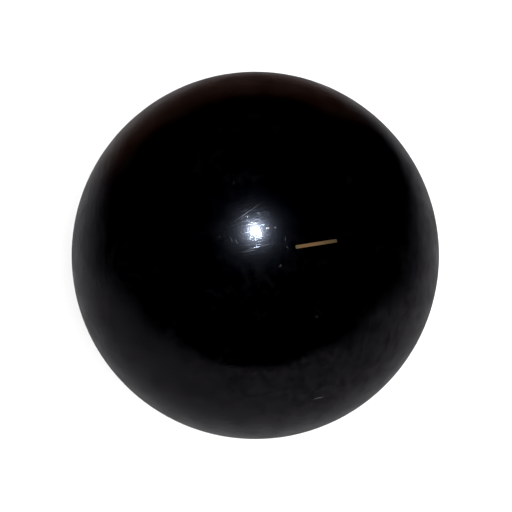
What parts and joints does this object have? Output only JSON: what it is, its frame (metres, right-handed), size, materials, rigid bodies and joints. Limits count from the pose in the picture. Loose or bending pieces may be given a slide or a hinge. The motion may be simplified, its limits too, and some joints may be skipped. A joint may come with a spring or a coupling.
{
  "type": "case opening friction ball",
  "caption": "Palm-sized hollow rubber ball, air-filled and glossy black, with a needle valve under a slit; pressed on a watch case back and turned to unscrew it by friction.",
  "frame": {"origin": "centre of the ball", "axes": "+Z out along the valve, to the slit that the palm covers; the slit lies along X; -Z is the side pressed on the case back, so the ball is turned about Z"},
  "size_m": [0.065, 0.065, 0.065],
  "materials": {
    "friction_rubber": "glossy moulded black rubber with fine handling scratches",
    "bladder_rubber": "matte black rubber dusted with talc",
    "patch_rubber": "matte rubberised cloth",
    "valve_rubber": "satin moulded black rubber",
    "gum_rubber": "satin tan gum rubber"
  },
  "bodies": {
    "root": {"cover": "friction_rubber", "bladder": "bladder_rubber", "valve_patch": "patch_rubber", "valve_housing": "valve_rubber", "valve_core": "gum_rubber"}
  },
  "joints": []
}
